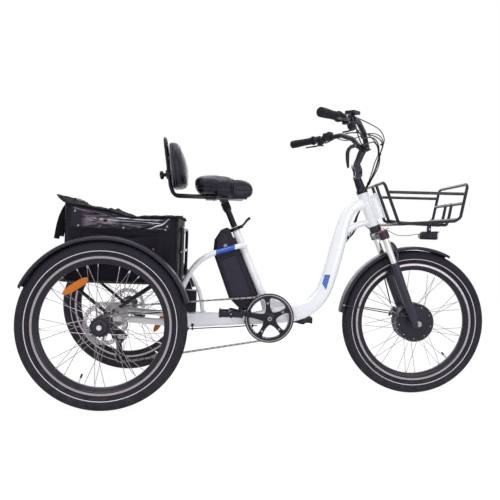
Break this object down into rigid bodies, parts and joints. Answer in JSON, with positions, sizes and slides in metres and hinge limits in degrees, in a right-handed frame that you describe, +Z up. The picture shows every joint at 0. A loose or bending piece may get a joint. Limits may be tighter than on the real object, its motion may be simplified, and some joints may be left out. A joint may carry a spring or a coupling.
{
  "type": "electric tricycle",
  "caption": "Step-through electric cargo tricycle with a front hub motor, a framed seat with backrest, a front carrier and a lidded rear bag.",
  "frame": {"origin": "middle of the vehicle's length and width, on the ground under the three wheels", "axes": "+X forward, +Y to the rider's left, +Z up"},
  "size_m": [1.859, 0.768, 1.1472],
  "materials": {
    "frame_white": "gloss enamel",
    "black_paint": "satin black paint",
    "black_plastic": "moulded, lightly grained",
    "fork_black": "semi-gloss black paint",
    "tyre_rubber": "moulded tread rubber",
    "grip_rubber": "soft matt rubber",
    "cable_black": "smooth cable jacket",
    "wheel_alloy": "anodised with a machined band",
    "bright_steel": "plated steel",
    "chain_steel": "oiled brown steel",
    "bag_cloth": "coarse coated weave",
    "seat_vinyl": "soft vinyl cover",
    "lever_red": "red moulding"
  },
  "bodies": {
    "frame": {"main_frame": "frame_white", "cargo_rack": "black_paint", "cargo_bag": "bag_cloth", "rear_fender_left": "black_paint", "rear_fender_right": "black_paint", "front_basket": "black_paint", "battery_rail": "black_plastic", "controller_box": "black_plastic", "chain": "chain_steel", "derailleur": "black_paint", "rear_caliper_left": "black_paint", "rear_caliper_right": "black_paint", "rear_cables": "cable_black", "seat_clamp": "black_paint"},
    "lid": {"bag_lid": "bag_cloth"},
    "lamp": {"headlight": "black_plastic"},
    "battery_pack": {"battery": "black_plastic"},
    "seat_lever": {"seat_clamp_lever": "black_paint"},
    "post": {"seatpost": "black_paint"},
    "seat": {"seatpost_slider": "bright_steel", "saddle": "seat_vinyl", "backrest_bar": "black_paint"},
    "back_pad": {"backrest_pad": "seat_vinyl"},
    "knob": {"backrest_knob": "black_plastic"},
    "crank": {"crankset": "black_paint"},
    "left_pedal": {"pedal_left": "black_plastic"},
    "right_pedal": {"pedal_right": "black_plastic"},
    "sprocket": {"freewheel": "bright_steel"},
    "upper_pulley": {"guide_pulley": "black_plastic"},
    "lower_pulley": {"tension_pulley": "black_plastic"},
    "left_wheel": {"rear_wheel_left": "wheel_alloy", "rear_tyre_left": "tyre_rubber"},
    "right_wheel": {"rear_wheel_right": "wheel_alloy", "rear_tyre_right": "tyre_rubber"},
    "fork": {"fork_crown": "bright_steel", "stem_column": "black_paint", "cable_loom": "cable_black"},
    "lockout": {"lockout_lever": "lever_red"},
    "lowers": {"fork_lowers": "fork_black", "front_fender": "black_paint", "front_caliper": "black_paint", "front_cable": "cable_black"},
    "front_hub": {"front_wheel": "wheel_alloy", "front_tyre": "tyre_rubber"},
    "stem": {"stem_head": "black_paint", "handlebar": "black_paint", "grip_left": "grip_rubber", "grip_right": "grip_rubber", "brake_mount_left": "black_plastic", "brake_mount_right": "black_plastic", "display": "black_plastic", "shifter": "black_plastic", "switch_pod": "black_plastic"},
    "tilt_lever": {"stem_lever": "black_paint"},
    "left_brake": {"brake_lever_left": "black_paint"},
    "right_brake": {"brake_lever_right": "black_paint"},
    "throttle": {"throttle_lever": "black_plastic"},
    "shift": {"shift_lever": "black_plastic"}
  },
  "joints": [
    {"name": "steering", "type": "hinge", "parent": "frame", "child": "fork", "pos_m": [0.4406, 0, 0.7081], "axis": [-0.3778, 0, 0.9259], "range_deg": [-45, 45], "deforming": ["cable_loom"]},
    {"name": "fork_suspension", "type": "slide", "parent": "fork", "child": "lowers", "axis": [-0.3778, 0, 0.9259], "range_m": [0, 0.03], "stiffness_N_per_m": 8000, "springref_m": -0.03, "deforming": ["front_cable"]},
    {"name": "front_wheel_spin", "type": "hinge", "parent": "lowers", "child": "front_hub", "pos_m": [0.6245, 0, 0.305], "axis": [0, 1, 0], "continuous": true},
    {"name": "rear_wheel_left_spin", "type": "hinge", "parent": "frame", "child": "left_wheel", "pos_m": [-0.6245, 0.33, 0.305], "axis": [0, 1, 0], "continuous": true},
    {"name": "rear_wheel_right_spin", "type": "hinge", "parent": "frame", "child": "right_wheel", "pos_m": [-0.6245, -0.33, 0.305], "axis": [0, 1, 0], "continuous": true},
    {"name": "crank_spin", "type": "hinge", "parent": "frame", "child": "crank", "pos_m": [0.0025, 0, 0.31], "axis": [0, 1, 0], "continuous": true, "deforming": ["chain"]},
    {"name": "pedal_left_spin", "type": "hinge", "parent": "crank", "child": "left_pedal", "pos_m": [0.165, 0.15, 0.2813], "axis": [0, 1, 0], "continuous": true},
    {"name": "pedal_right_spin", "type": "hinge", "parent": "crank", "child": "right_pedal", "pos_m": [-0.16, -0.15, 0.3387], "axis": [0, 1, 0], "continuous": true},
    {"name": "freewheel_spin", "type": "hinge", "parent": "frame", "child": "sprocket", "pos_m": [-0.6245, 0, 0.305], "axis": [0, 1, 0], "continuous": true},
    {"name": "guide_pulley_spin", "type": "hinge", "parent": "frame", "child": "upper_pulley", "pos_m": [-0.6125, -0.045, 0.215], "axis": [0, 1, 0], "continuous": true},
    {"name": "tension_pulley_spin", "type": "hinge", "parent": "frame", "child": "lower_pulley", "pos_m": [-0.5975, -0.045, 0.135], "axis": [0, 1, 0], "continuous": true},
    {"name": "stem_tilt", "type": "hinge", "parent": "fork", "child": "stem", "pos_m": [0.3515, 0, 0.958], "axis": [0, 1, 0], "range_deg": [-5, 10]},
    {"name": "stem_tilt_lever", "type": "hinge", "parent": "stem", "child": "tilt_lever", "pos_m": [0.345, 0, 1.0428], "axis": [0, 1, 0], "range_deg": [0, 90]},
    {"name": "brake_lever_left_pull", "type": "hinge", "parent": "stem", "child": "left_brake", "pos_m": [0.2477, 0.2596, 1.0891], "axis": [-0.0398, 0.0435, 0.9983], "range_deg": [0, 11], "stiffness_Nm_per_rad": 2, "springref_deg": -5.73},
    {"name": "brake_lever_right_pull", "type": "hinge", "parent": "stem", "child": "right_brake", "pos_m": [0.2477, -0.2596, 1.0891], "axis": [0.0398, 0.0435, -0.9983], "range_deg": [0, 11], "stiffness_Nm_per_rad": 2, "springref_deg": -5.73},
    {"name": "throttle_press", "type": "hinge", "parent": "stem", "child": "throttle", "pos_m": [0.2542, 0.2215, 1.1071], "axis": [0.6736, -0.7367, 0.0589], "range_deg": [0, 25], "stiffness_Nm_per_rad": 0.5, "springref_deg": -5.73},
    {"name": "shift_lever_press", "type": "hinge", "parent": "stem", "child": "shift", "pos_m": [0.2806, -0.2122, 1.071], "axis": [0.2896, -0.1897, -0.9382], "range_deg": [0, 20], "stiffness_Nm_per_rad": 0.5, "springref_deg": -5.73},
    {"name": "headlight_tilt", "type": "hinge", "parent": "frame", "child": "lamp", "pos_m": [0.6795, 0, 0.7026], "axis": [0, 1, 0], "range_deg": [-4, 20]},
    {"name": "lockout_turn", "type": "hinge", "parent": "fork", "child": "lockout", "pos_m": [0.4586, -0.065, 0.6852], "axis": [-0.3778, 0, 0.9259], "range_deg": [0, 90]},
    {"name": "seat_clamp_lever_open", "type": "hinge", "parent": "frame", "child": "seat_lever", "pos_m": [-0.1232, -0.0165, 0.6841], "axis": [0.4099, 0, -0.9121], "range_deg": [0, 120]},
    {"name": "seat_height", "type": "slide", "parent": "frame", "child": "post", "axis": [-0.4099, 0, 0.9121], "range_m": [-0.02, 0.08]},
    {"name": "seat_suspension", "type": "slide", "parent": "post", "child": "seat", "axis": [0.4099, 0, -0.9121], "range_m": [0, 0.018], "stiffness_N_per_m": 12000, "springref_m": -0.02},
    {"name": "backrest_height", "type": "slide", "parent": "seat", "child": "back_pad", "axis": [-0.147, 0, 0.9891], "range_m": [-0.01, 0.06]},
    {"name": "backrest_knob_turn", "type": "hinge", "parent": "seat", "child": "knob", "pos_m": [-0.4589, 0, 0.8842], "axis": [0.9891, 0, 0.147], "continuous": true},
    {"name": "battery_slide", "type": "slide", "parent": "frame", "child": "battery_pack", "axis": [-0.4099, 0, 0.9121], "range_m": [0, 0.045]},
    {"name": "bag_lid_open", "type": "hinge", "parent": "frame", "child": "lid", "pos_m": [-0.3655, 0, 0.704], "axis": [0, 1, 0], "range_deg": [0, 30]}
  ],
  "couplings": [
    {"joint": "freewheel_spin", "follows": "crank_spin", "ratio": 2.75},
    {"joint": "guide_pulley_spin", "follows": "crank_spin", "ratio": -4},
    {"joint": "tension_pulley_spin", "follows": "crank_spin", "ratio": 4}
  ]
}
